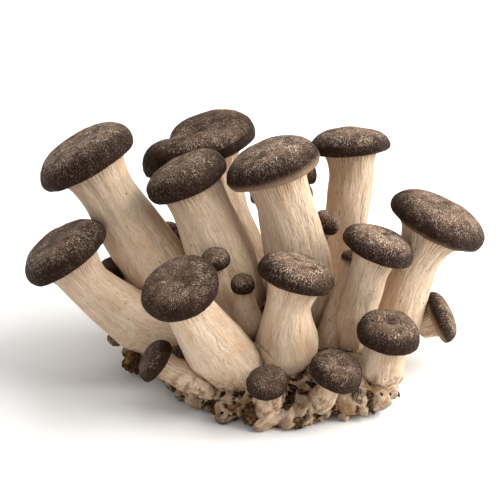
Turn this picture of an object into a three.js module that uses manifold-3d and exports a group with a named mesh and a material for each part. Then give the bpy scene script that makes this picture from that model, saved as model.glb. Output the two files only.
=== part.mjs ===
// A cluster of king oyster mushrooms: stout pale stems with dark caps, grown out of one knobbly butt of
// mycelium and sawdust that was sliced flat where the cluster came off its block, so it stands on that cut.
// Millimetres, +Z up. The origin is on the cut face, +X runs along the cluster's width, and the short
// mushrooms lean out towards -Y, its front.
import * as THREE from 'three';
import { mergeVertices } from 'three/addons/utils/BufferGeometryUtils.js';
import Module from 'manifold-3d';

const wasm = await Module();
wasm.setup();

const GAP = 0.3;           // left where one piece presses into another
const GILL_SPREAD = 0.72;  // the gills reach out to this share of the cap's radius, unless spread says
const GILL_RUN = 0.26;     // and run this share of the cap's radius down the stem
const NOTCH_SHARPNESS = 12;
const LIP_DROP = 0.18;     // the cap's rolled lip hangs this share of its thickness below the gills

// Facets round each piece, and steps along its gills and over its cap.
const FACETS = {
  big: { round: 16, gills: 3, cap: 7 },
  mid: { round: 12, gills: 3, cap: 6 },
  small: { round: 8, gills: 2, cap: 5 },
};

// Each mushroom grows from its foot to its crown, where the stem meets the cap. lean is the cap's tilt
// from level in degrees, and towards is the way it tilts: 0 is +X, 90 is +Y. cap is [width, thickness]
// and stem is [foot, belly, neck] widths, the belly lying bellyAt of the way up. oval stretches the cap
// along ovalAt, notch dents its rim at notchAt, dish sinks its middle, dome thins its rim, wave lifts and
// drops the rim, spread is how far out the gills reach, and bend carries the stem sideways near its foot.
const MUSHROOMS = [
  { name: 'front_left', size: 'big', foot: [-5, -38, 13], crown: [-32, -45, 54], lean: 24, towards: 222,
    cap: [33, 10.5], stem: [24, 27, 20] },
  { name: 'front_centre', size: 'big', foot: [12, -29, 16], crown: [13, -31, 53], lean: 17, towards: 21,
    cap: [32, 10.5], stem: [27, 28, 18], bellyAt: 0.22, spread: 0.8, dome: 0.6 },
  { name: 'front_right', size: 'mid', foot: [49, -34, 9], crown: [51, -40, 31], lean: 10, towards: 325,
    cap: [27, 9.5], stem: [18, 20, 17] },
  { name: 'low_right', size: 'mid', foot: [21, -50, 6], crown: [29, -53, 21], lean: 20, towards: 335,
    cap: [23.5, 8], stem: [11, 11, 9] },
  { name: 'bud_furled', size: 'small', foot: [26, -19, 12], crown: [37.5, -7, 50], lean: 12, towards: 40,
    cap: [10, 4.5], stem: [13, 13, 7], bellyAt: 0.45 },
  { name: 'low_left', size: 'mid', foot: [-19, -43, 12], crown: [-42, -42, 21], lean: 55, towards: 188,
    cap: [19, 6.5], stem: [15, 15, 11] },
  { name: 'mid_right', size: 'big', foot: [37, -15, 12], crown: [47, -15, 58], lean: 21, towards: 21,
    cap: [31.5, 10], stem: [18, 18, 15], dome: 0.4 },
  { name: 'side_left', size: 'big', foot: [-27, -14, 18], crown: [-80, -10, 53], lean: 31, towards: 177,
    cap: [39, 11], stem: [23, 25, 19] },
  { name: 'centre_tall', size: 'big', foot: [16, 0, 20], crown: [5.5, 3, 86], lean: 19, towards: 165,
    cap: [40, 13], stem: [30, 27, 23], dome: 0.5 },
  { name: 'side_right', size: 'big', foot: [55, -6, 10], crown: [72, 2, 61], lean: 25, towards: 14,
    cap: [43, 13], stem: [19, 20, 19], spread: 0.84, dome: 0.7 },
  { name: 'tall_left', size: 'big', foot: [-28, 5, 16], crown: [-71.5, 12, 86], lean: 29, towards: 171,
    cap: [45, 12], stem: [26, 29, 24] },
  { name: 'rear_left', size: 'big', foot: [-8, 2, 20], crown: [-30, 4, 80], lean: 25, towards: 168,
    cap: [36, 11], stem: [25, 28, 24] },
  { name: 'rear_right', size: 'big', foot: [31, 20, 14], crown: [38, 35, 82], lean: 16, towards: 101,
    cap: [35, 10.5], stem: [19, 19, 18], bend: [-6, 0, 0], dome: 0.9 },
  { name: 'rear_broad', size: 'big', foot: [-2, 22, 18], crown: [-27, 38, 79], lean: 19, towards: 168,
    cap: [49, 14], stem: [24, 26, 26], oval: 0.17, ovalAt: 22, notch: 0.26, notchAt: 157, dish: 0.3 },
  { name: 'low_side_right', size: 'mid', foot: [57, -23, 7], crown: [73, -2, 20], lean: 64, towards: 4,
    cap: [24, 8], stem: [16, 14, 12], bend: [5, 3, 0] },
  { name: 'bud_left', size: 'small', foot: [-8, -16, 24], crown: [-19, -15, 53], lean: 12, towards: 250,
    cap: [13, 6], stem: [11, 10, 8] },
  { name: 'bud_centre', size: 'small', foot: [-3, -22, 24], crown: [-8, -22, 45], lean: 12, towards: 260,
    cap: [10.5, 6], stem: [13, 12, 8] },
  { name: 'bud_right', size: 'small', foot: [28, 4, 22], crown: [26, 5, 59], lean: 9, towards: 13,
    cap: [13, 8], stem: [10, 10, 7] },
  { name: 'bud_rear', size: 'small', foot: [17, 22, 24], crown: [16.5, 27, 72], lean: 14, towards: 20,
    cap: [14, 8], stem: [9, 9, 7] },
  { name: 'low_centre', size: 'small', foot: [1, -52, 5], crown: [2, -58, 19], lean: 20, towards: 260,
    cap: [18, 7.5], stem: [15, 13, 11] },
  { name: 'bud_between', size: 'small', foot: [-43, 10, 9], crown: [-61, 8, 35], lean: 20, towards: 180,
    cap: [17, 9], stem: [9, 9, 8] },
  { name: 'bud_behind', size: 'small', foot: [-16, 20, 20], crown: [-31, 24, 43], lean: 20, towards: 170,
    cap: [15, 8], stem: [11, 11, 9] },
  { name: 'back_left', size: 'mid', foot: [-26, 26, 12], crown: [-45, 42, 33], lean: 40, towards: 140,
    cap: [25, 9], stem: [15, 17, 14] },
  { name: 'back_centre', size: 'mid', foot: [8, 34, 14], crown: [9, 52, 50], lean: 28, towards: 95,
    cap: [28, 10], stem: [17, 19, 16] },
  { name: 'back_right', size: 'mid', foot: [46, 20, 10], crown: [56, 32, 32], lean: 34, towards: 50,
    cap: [22, 8], stem: [13, 14, 11] },
];

// Pins are mushrooms too young to show a stem: [x, y, z] of the head's middle, its width, and the way it
// looks, as a lean and a bearing.
const PINS = [
  { name: 'pin_edge', at: [-61, -10, 16], width: 9, lean: 65, towards: 190 },
  { name: 'pin_tucked', at: [-34, -33, 18], width: 12, lean: 30, towards: 215 },
  { name: 'pin_front', at: [39, -50, 10], width: 7, lean: 60, towards: 290 },
  { name: 'pin_centre', at: [20, -38, 16], width: 7, lean: 50, towards: 265 },
];
const PIN_FACETS = 10;
const PIN_HEIGHT = 0.8;  // of its width

// Crumbs of sawdust pressed into the butt, each [x, y, z] and [half width, half depth, half height].
const CRUMBS = [
  [[-5, -57, 6], [3.4, 4, 4.6]],
  [[15, -58, 4], [3, 3.4, 3.8]],
  [[48, -40, 5], [4, 3.6, 3]],
  [[-54, -15, 7], [5, 5, 5.4]],
  [[-33, -33, 6], [5.5, 4, 4]],
];

// The butt is a mound of overlapping lumps, written the same way.
const LUMPS = [
  [[2, 0, 4], [54, 38, 18]],
  [[-25, -20, 8], [22, 18, 13]],
  [[-52, -10, 8], [9, 9, 9]],
  [[12, -34, 5], [38, 14, 15]],
  [[-15, -42, 6], [13, 10, 9]],
  [[4, -49, 5], [13, 12, 10]],
  [[20, -47, 5], [11, 11, 8]],
  [[37, -43, 6], [13, 11, 9]],
  [[48, -23, 8], [11, 15, 12]],
  [[43, -34, 3], [11, 12, 6]],
  [[4, 20, 6], [44, 22, 16]],
];
const LUMP_FACETS = [12, 8];
const FLOOR_DEPTH = 60;  // deep enough to slice off every lump below the table

const UP = new THREE.Vector3(0, 0, 1);

// The unit vector that leans so many degrees from +Z towards a bearing.
function leaning(lean, towards) {
  const [tilt, turn] = [lean, towards].map(THREE.MathUtils.degToRad);
  return new THREE.Vector3(Math.sin(tilt) * Math.cos(turn), Math.sin(tilt) * Math.sin(turn), Math.cos(tilt));
}

// A factor near 1 that changes round a piece, so that nothing is a perfect circle.
function wobble(angle, seed) {
  return 1 + 0.022 * Math.sin(2 * angle + 1.7 * seed) + 0.014 * Math.sin(3 * angle + 2.9 * seed)
    + 0.008 * Math.sin(5 * angle + 4.1 * seed);
}

// The same for a cap's outline, which may also be oval and notched.
function outline({ oval = 0, ovalAt = 0, notch = 0, notchAt = 0 }, angle, seed) {
  const fromOval = angle - THREE.MathUtils.degToRad(ovalAt);
  const fromNotch = angle - THREE.MathUtils.degToRad(notchAt);
  return wobble(angle, seed) * (1 + oval * Math.cos(2 * fromOval))
    * (1 - notch * Math.exp(NOTCH_SHARPNESS * (Math.cos(fromNotch) - 1)));
}

// How far the cap's rim, and the gills under it, rise or fall at a place.
function rimLift({ cap: [width], wave = 0.02 }, angle, radius, seed) {
  return wave * width * (2 * radius / width) ** 2 * Math.sin(2 * angle + 2.3 * seed);
}

// A lathe profile moved outward by a distance, its two ends staying on the axis.
function outset(profile, distance) {
  const normals = profile.slice(1).map((p, i) => {
    const along = p.clone().sub(profile[i]).normalize();
    return new THREE.Vector2(along.y, -along.x);
  });
  return profile.map((p, i) => {
    const [before, after] = [normals[Math.max(i - 1, 0)], normals[Math.min(i, normals.length - 1)]];
    const mitre = before.clone().add(after).divideScalar(Math.max(1 + before.dot(after), 0.5));
    const moved = p.clone().addScaledVector(mitre, distance);
    return p.x ? moved : moved.setX(0);
  });
}

// Turns a lathe's points, given as (radius, height, angle), into places in a +Z up frame.
function reshape(lathe, place) {
  const position = lathe.getAttribute('position');
  const at = new THREE.Vector3();
  for (let i = 0; i < position.count; i++) {
    at.fromBufferAttribute(position, i);
    const angle = Math.atan2(-at.z, at.x);
    place(at, Math.hypot(at.x, at.z), at.y, angle);
    position.setXYZ(i, at.x, at.y, at.z);
  }
  return lathe;
}

// The cap in its own frame, with its underside at z 0: a cushion with a rolled lip and a sunken middle.
function capGeometry(mushroom, seed, grow = 0) {
  const { cap: [width, thick], spread = GILL_SPREAD, dish = 0.05, dome = 0, size } = mushroom;
  const radius = width / 2;
  const facets = FACETS[size];
  const upper = new THREE.SplineCurve([
    new THREE.Vector2(spread + 0.06, -LIP_DROP * 0.7),
    new THREE.Vector2(0.91, -LIP_DROP),
    new THREE.Vector2(1.0, 0.22 - 0.1 * dome),
    new THREE.Vector2(0.95, 0.58 - 0.2 * dome),
    new THREE.Vector2(0.78, 0.86 - 0.2 * dome),
    new THREE.Vector2(0.45, 1 - 0.1 * dome),
    new THREE.Vector2(0, 1 - dish),
  ]).getSpacedPoints(facets.cap);
  upper.at(-1).x = 0;
  const points = [new THREE.Vector2(0, 0), new THREE.Vector2(spread, 0), ...upper];
  const profile = outset(points.map(({ x, y }) => new THREE.Vector2(x * radius, y * thick + GAP / 2)), grow);
  return reshape(new THREE.LatheGeometry(profile, facets.round), (at, r, h, angle) => {
    const round = r * outline(mushroom, angle, seed);
    at.set(round * Math.cos(angle), round * Math.sin(angle), h + rimLift(mushroom, angle, r, seed));
  });
}

// How far down the stem the gills run.
function gillRun({ foot, crown, cap: [width] }) {
  const length = new THREE.Vector3(...crown).distanceTo(new THREE.Vector3(...foot));
  return Math.min(GILL_RUN * width / 2, 0.15 * length);
}

// The line that the stem grows along, from the middle of its foot: an arc, then straight under the gills
// so that it meets the cap squarely.
function stemPath(mushroom) {
  const { foot, crown, lean, towards, bend = [0, 0, 0] } = mushroom;
  const up = leaning(lean, towards);
  const end = new THREE.Vector3(...crown).sub(new THREE.Vector3(...foot));
  const bottom = end.clone().addScaledVector(up, -2 * gillRun(mushroom));
  const straight = bottom.clone().normalize();
  const turn = straight.angleTo(up);
  const first = straight.clone().multiplyScalar(2 * straight.dot(up)).sub(up);
  const handle = bottom.length() * 2 / 3 * Math.tan(turn / 2) / Math.sin(turn);
  const path = new THREE.CurvePath();
  path.add(new THREE.CubicBezierCurve3(
    new THREE.Vector3(),
    first.multiplyScalar(handle).add(new THREE.Vector3(...bend)),
    bottom.clone().addScaledVector(up, -handle),
    bottom,
  ));
  path.add(new THREE.LineCurve3(bottom, end));
  return path;
}

// The stem with its gills: a lathe bent along the path, flaring out under the cap.
function stemGeometry(mushroom, seed, grow = 0) {
  const { cap: [width], stem: [foot, belly, neck], bellyAt = 0.4, spread = GILL_SPREAD, size } = mushroom;
  const facets = FACETS[size];
  const path = stemPath(mushroom);
  const length = path.getLength();
  const run = gillRun(mushroom);
  const edge = spread * width / 2 - GAP;
  const body = [
    new THREE.Vector2(foot * 0.42, 0.03 * length),
    new THREE.Vector2(foot * 0.5, 0.13 * length),
    new THREE.Vector2(belly * 0.5, bellyAt * length),
    new THREE.Vector2(neck * 0.5, length - 2.4 * run),
  ];
  const gills = Array.from({ length: facets.gills + 1 }, (_, i) => {
    const below = 1.6 * run * (1 - i / facets.gills) ** 1.6;
    return new THREE.Vector2(neck / 2 + (edge - neck / 2) * Math.exp(-below / run * 1.3), length - below);
  });
  const top = length - GAP / 2;
  const points = [new THREE.Vector2(0, 0), new THREE.Vector2(foot * 0.25, 0), ...body, ...gills,
    new THREE.Vector2(0, top)];
  const profile = outset(points.map(({ x, y }) => new THREE.Vector2(x, Math.min(y, top))), grow);
  const turn = new THREE.Quaternion();
  return reshape(new THREE.LatheGeometry(profile, facets.round), (at, r, h, angle) => {
    const share = THREE.MathUtils.clamp(h / length, 0, 1);
    const tangent = path.getTangentAt(share);
    const under = THREE.MathUtils.smoothstep(share, 0.7, 1);
    const free = wobble(angle + share, seed + 3);
    const round = r * THREE.MathUtils.lerp(free, outline(mushroom, angle, seed), under);
    at.set(round * Math.cos(angle), round * Math.sin(angle), under * rimLift(mushroom, angle, r, seed));
    at.applyQuaternion(turn.setFromUnitVectors(UP, tangent));
    at.add(path.getPointAt(share)).addScaledVector(tangent, h - share * length);
  });
}

// A mesh's geometry as a solid in the cluster's frame.
function solidOf(geometry, matrix) {
  const bare = new THREE.BufferGeometry().setIndex(geometry.index)
    .setAttribute('position', geometry.getAttribute('position').clone()).applyMatrix4(matrix);
  const merged = mergeVertices(bare, 1e-3);
  return new wasm.Manifold(new wasm.Mesh({
    numProp: 3,
    vertProperties: merged.getAttribute('position').array,
    triVerts: new Uint32Array(merged.index.array),
  }));
}

// A solid's largest piece, as geometry in the frame that matrix places.
function geometryOf(solid, matrix) {
  const whole = solid.decompose().sort((a, b) => b.volume() - a.volume())[0];
  const { vertProperties, triVerts } = whole.getMesh();
  return new THREE.BufferGeometry()
    .setAttribute('position', new THREE.BufferAttribute(new Float32Array(vertProperties), 3))
    .setIndex(new THREE.BufferAttribute(new Uint32Array(triVerts), 1))
    .applyMatrix4(matrix.clone().invert());
}

function overlap(a, b) {
  const [p, q] = [a.boundingBox(), b.boundingBox()];
  return [0, 1, 2].every((i) => p.min[i] < q.max[i] && q.min[i] < p.max[i]);
}

const SKIN = new THREE.MeshStandardMaterial({ color: 0x5b4a40, roughness: 0.7, metalness: 0 });
const FLESH = new THREE.MeshStandardMaterial({ color: 0xd9c4a6, roughness: 0.75, metalness: 0 });
const SAWDUST = new THREE.MeshStandardMaterial({ color: 0x4a3524, roughness: 0.95, metalness: 0 });
const MYCELIUM = new THREE.MeshStandardMaterial({ color: 0xb99c78, roughness: 0.9, metalness: 0 });

const cluster = new THREE.Group();
const grown = [];  // each finished piece, a gap larger all round, for its later neighbours to be cut by

// The table that the cut face stands on.
const table = solidOf(
  new THREE.BoxGeometry(4 * FLOOR_DEPTH, 4 * FLOOR_DEPTH, FLOOR_DEPTH),
  new THREE.Matrix4().makeTranslation(0, 0, -FLOOR_DEPTH / 2),
);

// Cuts a mesh by the pieces made before it, other than its own stem or cap, and by the table.
function press(mesh, mushroom) {
  mesh.updateWorldMatrix(true, false);
  const whole = solidOf(mesh.geometry, mesh.matrixWorld);
  const own = (g) => mushroom && g.mushroom === mushroom;
  const near = [...grown, { solid: table }].filter((g) => !own(g) && overlap(g.solid, whole));
  const left = near.reduce((solid, g) => solid.subtract(g.solid), whole);
  if (near.length) mesh.geometry = geometryOf(left, mesh.matrixWorld);
}

MUSHROOMS.forEach((mushroom, seed) => {
  const place = new THREE.Group();
  place.position.set(...mushroom.foot);
  cluster.add(place);

  const stem = new THREE.Mesh(stemGeometry(mushroom, seed), FLESH);
  stem.name = `stem_${mushroom.name}`;

  const cap = new THREE.Mesh(capGeometry(mushroom, seed), SKIN);
  cap.name = `cap_${mushroom.name}`;
  cap.position.set(...mushroom.crown).sub(place.position);
  cap.quaternion.setFromUnitVectors(UP, leaning(mushroom.lean, mushroom.towards));

  place.add(stem, cap);
  press(cap, mushroom);
  press(stem, mushroom);
  grown.push({ mushroom, solid: solidOf(stemGeometry(mushroom, seed, GAP), stem.matrixWorld) });
  grown.push({ mushroom, solid: solidOf(capGeometry(mushroom, seed, GAP), cap.matrixWorld) });
});

// A ball with uneven half widths at a place, as a solid.
function lump([[x, y, z], [width, depth, height]], geometry) {
  return solidOf(geometry, new THREE.Matrix4().makeScale(width, depth, height).setPosition(x, y, z));
}

// A pin's head: a knob with a flattened face, its middle at the origin.
function pinGeometry({ width }, grow = 0) {
  const [radius, height] = [width / 2, width * PIN_HEIGHT];
  const profile = [[0, -0.5], [0.7, -0.35], [1, 0], [0.92, 0.3], [0.6, 0.5], [0, 0.5]]
    .map(([r, h]) => new THREE.Vector2(r * radius, h * height));
  return reshape(new THREE.LatheGeometry(outset(profile, grow), PIN_FACETS), (at, r, h, angle) => {
    at.set(r * Math.cos(angle), r * Math.sin(angle), h);
  });
}

PINS.forEach((pin) => {
  const mesh = new THREE.Mesh(pinGeometry(pin), SKIN);
  mesh.name = pin.name;
  mesh.position.set(...pin.at);
  mesh.quaternion.setFromUnitVectors(UP, leaning(pin.lean, pin.towards));
  cluster.add(mesh);
  press(mesh);
  grown.push({ solid: solidOf(pinGeometry(pin, GAP), mesh.matrixWorld) });
});

// Crumbs are rough stones of sawdust.
CRUMBS.forEach(([place, half], i) => {
  const mesh = new THREE.Mesh(new THREE.IcosahedronGeometry(1, 1), SAWDUST);
  mesh.name = `crumb_${i + 1}`;
  mesh.scale.set(...half);
  mesh.position.set(...place);
  cluster.add(mesh);
  press(mesh);
  grown.push({ solid: lump([place, half.map((size) => size + GAP)], new THREE.IcosahedronGeometry(1, 1)) });
});

// The butt: its lumps joined, sliced off at the table, with a socket for each foot, pin and crumb.
const ball = new THREE.SphereGeometry(1, ...LUMP_FACETS).rotateX(Math.PI / 2);
const mound = LUMPS.map((each) => lump(each, ball)).reduce((a, b) => a.add(b));
const socketed = grown.reduce((solid, g) => solid.subtract(g.solid), mound.subtract(table));
const butt = new THREE.Mesh(geometryOf(socketed, new THREE.Matrix4()), MYCELIUM);
butt.name = 'mycelium_butt';
cluster.add(butt);

export default cluster;
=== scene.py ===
import math
import bpy
import numpy as np
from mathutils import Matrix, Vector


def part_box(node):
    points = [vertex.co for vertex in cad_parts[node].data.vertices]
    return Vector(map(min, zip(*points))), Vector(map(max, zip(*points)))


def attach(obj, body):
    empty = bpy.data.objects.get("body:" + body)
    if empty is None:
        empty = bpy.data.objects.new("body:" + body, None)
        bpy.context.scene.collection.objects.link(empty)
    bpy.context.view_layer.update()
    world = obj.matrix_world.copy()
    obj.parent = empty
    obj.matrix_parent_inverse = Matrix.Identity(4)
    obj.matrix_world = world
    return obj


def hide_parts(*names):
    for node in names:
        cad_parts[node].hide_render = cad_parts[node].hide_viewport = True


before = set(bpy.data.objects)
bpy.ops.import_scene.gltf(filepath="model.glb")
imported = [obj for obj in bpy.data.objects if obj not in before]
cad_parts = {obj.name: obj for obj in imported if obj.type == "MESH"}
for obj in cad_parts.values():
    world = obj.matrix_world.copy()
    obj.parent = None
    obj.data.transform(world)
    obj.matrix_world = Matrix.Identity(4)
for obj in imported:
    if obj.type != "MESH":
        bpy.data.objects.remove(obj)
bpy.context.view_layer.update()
upward = np.array([0.0, 0.0, 1.0])
aboveTable = 0.0002          # how high above the table stems, knobs and fingers stop


def unit(vectors):
    return vectors / np.linalg.norm(vectors, axis=-1, keepdims=True)


def smoothstep(low, high, value):
    share = np.clip((value - low) / (high - low), 0, 1)
    return share * share * (3 - 2 * share)


# A bell curve: exp(-(v / w)^2).
def bell(value, width):
    return np.exp(-(value / width) ** 2)


# Shares of the way from 0 to 1: the middles of equal steps, and places round a closed circle.
def midSteps(count):
    return (np.arange(count) + 0.5) / count


def roundSteps(count):
    return np.arange(count) / count


# How many points go round a circle at about a given spacing, in sixteens.
def pointsRound(radius, spacing):
    return 16 * max(3, round(2 * math.pi * radius / spacing / 16))


# Angles down from an axis and round it, over a grid of shares of a half and of a whole turn.
def angleGrid(fallShares, turnShares):
    return np.meshgrid(fallShares * math.pi, turnShares * 2 * math.pi, indexing="ij")


# The corners of a frame node's triangles, as an array of (triangle, corner, xyz).
def trianglesOf(node):
    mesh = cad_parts[node].data
    mesh.calc_loop_triangles()
    points = np.empty(len(mesh.vertices) * 3)
    mesh.vertices.foreach_get("co", points)
    corners = np.empty(len(mesh.loop_triangles) * 3, dtype=np.int64)
    mesh.loop_triangles.foreach_get("vertices", corners)
    return points.reshape(-1, 3)[corners].reshape(-1, 3, 3)


# Where rays from one point leave a closed mesh. A ray lies inside the cone of a triangle's corners a, b, c
# when it is on the inner side of the planes a x b, b x c and c x a, and it meets the triangle's plane at
# a.n / d.n. The farthest way out is taken for a shell, the nearest for a slice of a bent stem.
def waysOut(start, rays, triangles, farthest=True):
    a, b, c = np.moveaxis(triangles - start, 1, 0)
    normal = np.cross(b - a, c - a)
    inside = rays @ np.cross(a, b).T >= 0
    inside &= rays @ np.cross(b, c).T >= 0
    inside &= rays @ np.cross(c, a).T >= 0
    along = rays @ normal.T
    with np.errstate(divide="ignore", invalid="ignore"):
        reach = np.where(inside & (along > 0), (a * normal).sum(1) / along, np.nan)
    empty = np.isnan(reach).all(1)
    reach[empty] = 0
    found = np.nanmax(reach, axis=1) if farthest else np.nanmin(reach, axis=1)
    return np.where(empty, np.nan, found)


# Missing values take the mean of the rest of their row, or of everything.
def filled(values):
    missing = np.isnan(values)
    known = np.maximum((~missing).sum(1), 1)
    rowMean = np.where(missing.all(1), np.nanmean(values), np.nansum(values, axis=1) / known)
    return np.where(missing, rowMean[:, None], values)


# Weights that carry values at coarse places to fine ones, each a bell curve over distance whose width is
# given, made to add up to one. Places may go round a circle of length 1.
def blend(fine, coarse, width, around=False):
    gap = np.abs(fine[:, None] - coarse[None, :])
    if around:
        gap = np.minimum(gap, 1 - gap)
    weight = bell(gap, width)
    return weight / weight.sum(1, keepdims=True)


# Values on one grid of shares, down and round, carried to another.
def carried(values, coarse, fine, downWidth, roundWidth):
    return (blend(fine[0], coarse[0], downWidth) @ values
            @ blend(fine[1], coarse[1], roundWidth, around=True).T)


# Smooth noise: plane waves in random directions, with wavelengths about a given size, added together and
# scaled so that most values lie between -1 and 1.
def waves(points, size, seed, count=28, spread=(0.6, 1.5)):
    random = np.random.default_rng(seed)
    direction = unit(random.normal(size=(count, 3)))
    turns = direction * (2 * math.pi / size * random.uniform(*spread, count))[:, None]
    phase = random.uniform(0, 2 * math.pi, count)
    flat = points.reshape(-1, 3)
    return (np.sin(flat @ turns.T + phase).sum(1) * math.sqrt(1 / count)).reshape(points.shape[:-1])


# Six times the volume under some faces: a . (b x c), added up over the triangles of each face.
def sixVolumes(points, faces):
    corners = points[faces]
    total = 0.0
    for each in range(1, faces.shape[1] - 1):
        total += (np.cross(corners[:, each], corners[:, each + 1]) * corners[:, 0]).sum()
    return total


# Keeps values at the points for the materials, one number or a vector each. A pole takes its ring's mean.
def keepField(mesh, name, values):
    count, around = values.shape[:2]
    flat = values.reshape(count * around, -1)
    first = values[0].reshape(around, -1).mean(0)[None]
    last = values[-1].reshape(around, -1).mean(0)[None]
    kind, part = ("FLOAT_VECTOR", "vector") if flat.shape[1] == 3 else ("FLOAT", "value")
    kept = mesh.attributes.new(name, kind, "POINT")
    kept.data.foreach_set(part, np.concatenate([first, flat, last]).astype(np.float32).ravel())


# A closed surface from rings of points: quads between each ring and the next, and a fan onto a pole at each
# end. All faces are turned round if the volume inside comes out negative.
def closedSurface(name, rings, fields, material, nodes):
    count, around = rings.shape[:2]
    points = np.concatenate([rings[0].mean(0)[None], rings.reshape(-1, 3), rings[-1].mean(0)[None]])
    ring = 1 + np.arange(count)[:, None] * around + np.arange(around)
    after = np.roll(ring, -1, axis=1)
    quads = np.stack([ring[:-1], after[:-1], after[1:], ring[1:]], axis=-1).reshape(-1, 4)
    topFan = np.stack([np.zeros(around, dtype=int), after[0], ring[0]], axis=-1)
    endFan = np.stack([np.full(around, len(points) - 1), ring[-1], after[-1]], axis=-1)
    if sum(sixVolumes(points, faces) for faces in (quads, topFan, endFan)) < 0:
        quads, topFan, endFan = quads[:, ::-1], topFan[:, ::-1], endFan[:, ::-1]
    mesh = bpy.data.meshes.new(name)
    mesh.from_pydata(points.tolist(), [], quads.tolist() + topFan.tolist() + endFan.tolist())
    for field, values in fields.items():
        keepField(mesh, field, values)
    return finishPiece(mesh, material, nodes)


def newObject(name, data):
    made = bpy.data.objects.new(name, data)
    bpy.context.collection.objects.link(made)
    return made


def finishPiece(mesh, material, nodes):
    mesh.polygons.foreach_set("use_smooth", np.ones(len(mesh.polygons), dtype=bool))
    mesh.materials.append(material)
    mesh.update()
    piece = newObject(mesh.name, mesh)
    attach(piece, "root")
    if nodes:
        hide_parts(*nodes)
    return piece


# A material being built: its node tree, with short ways to add and join nodes.
class Shader:
    def __init__(self, name):
        self.material = bpy.data.materials.new(name)
        self.material.use_nodes = True
        self.tree = self.material.node_tree
        self.surface = self.tree.nodes["Principled BSDF"]

    def node(self, kind, inputs=None, **settings):
        made = self.tree.nodes.new(kind)
        for setting, value in settings.items():
            setattr(made, setting, value)
        for key, value in (inputs or {}).items():
            if isinstance(value, bpy.types.NodeSocket):
                self.tree.links.new(value, made.inputs[key])
            else:
                made.inputs[key].default_value = value
        return made

    def place(self):
        return self.node("ShaderNodeTexCoord").outputs["Object"]

    def field(self, name, output="Fac"):
        return self.node("ShaderNodeAttribute", attribute_name=name).outputs[output]

    def stretched(self, vector, scale):
        return self.node("ShaderNodeMapping", {"Vector": vector, "Scale": scale}).outputs[0]

    def vectors(self, operation, first, second):
        return self.node("ShaderNodeVectorMath", {0: first, 1: second}, operation=operation).outputs[0]

    def noise(self, vector, scale, detail=3.0, roughness=0.55, output="Fac"):
        inputs = {"Vector": vector, "Scale": scale, "Detail": detail, "Roughness": roughness}
        return self.node("ShaderNodeTexNoise", inputs).outputs[output]

    def between(self, value, low, high, start=0.0, end=1.0):
        inputs = {"Value": value, "From Min": low, "From Max": high, "To Min": start, "To Max": end}
        return self.node("ShaderNodeMapRange", inputs, interpolation_type="SMOOTHSTEP").outputs[0]

    def math(self, operation, first, second):
        return self.node("ShaderNodeMath", {0: first, 1: second}, operation=operation).outputs[0]

    def times(self, first, second):
        return self.math("MULTIPLY", first, second)

    def mix(self, share, first, second):
        made = self.node("ShaderNodeMix", data_type="RGBA")
        for key, value in ((0, share), (6, first), (7, second)):
            if isinstance(value, bpy.types.NodeSocket):
                self.tree.links.new(value, made.inputs[key])
            else:
                made.inputs[key].default_value = value if key == 0 else (*value, 1)
        return made.outputs[2]

    def finish(self, colour, roughness, bumps, constants=None):
        self.tree.links.new(colour, self.surface.inputs["Base Color"])
        self.tree.links.new(roughness, self.surface.inputs["Roughness"])
        normal = None
        for height, distance in bumps:
            inputs = {"Height": height, "Distance": distance, "Strength": 1.0}
            if normal:
                inputs["Normal"] = normal
            normal = self.node("ShaderNodeBump", inputs).outputs[0]
        self.tree.links.new(normal, self.surface.inputs["Normal"])
        for socket, value in (constants or {}).items():
            self.surface.inputs[socket].default_value = value
        return self.material


# In the four finishes, noise scales are per metre and bumps are heights in metres. A ramp is where it starts
# and ends, and where it matters also its values there.
skin = {
    "shade": (0.046, 0.024, 0.014),
    "body": (0.15, 0.09, 0.058),
    "fleck": (0.82, 0.65, 0.51),
    # The darker edge: partly the cap's own darker margin, partly painted shade where the rim turns down from
    # the light.
    "rim": (0.018, 0.007, 0.003),
    "under": (0.27, 0.175, 0.11),
    "blotchScale": 170,
    "blotchRamp": (0.36, 0.64),
    "blotchTone": (0.1, 1.5),    # strength of the blotches at tone 0 and 1
    "fleckScale": 2300,
    "fleckRamp": (0.49, 0.64),
    "fleckTone": (0.2, 1.25),
    "fleckCover": 0.9,
    "dashRamp": (0.3, 0.62),     # shares of the way to the rim
    "dots": (1, 0.3),            # weight of the dots before and past that ramp
    "dashes": (0, 0.7),
    "patchScale": 240,
    "patchRamp": (0.38, 0.62, 0.3, 1),
    "middleRamp": (0.0, 0.28, 0.4, 1),
    "outerRamp": (0.68, 1.02, 1, 0.1),
    "darkEdgeAndShadeRamp": (0.6, 1.0),
    "underRamp": (1.14, 1.3),
    "roughRamp": (0.35, 0.7, 0.78, 0.6),
    "lumpScale": 320,
    "lumpBump": 0.0007,
    "fleckBump": 0.0004,
    "constants": {"Sheen Weight": 0.02, "Sheen Roughness": 0.4, "Sheen Tint": (1, 0.85, 0.72, 1),
                  "Specular IOR Level": 0.1},
}


# Noise that is dots in a cap's middle and goes over into dashes drawn out towards the rim.
def fleckMarks(made, place, rim):
    dots = made.noise(place, skin["fleckScale"], 2, 0.5)
    dashes = made.noise(made.field("streak", "Vector"), skin["fleckScale"], 2, 0.5)
    outer = made.between(rim, *skin["dashRamp"])
    return made.math("ADD", made.times(dots, made.between(outer, 0, 1, *skin["dots"])),
                     made.times(dashes, made.between(outer, 0, 1, *skin["dashes"])))
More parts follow.
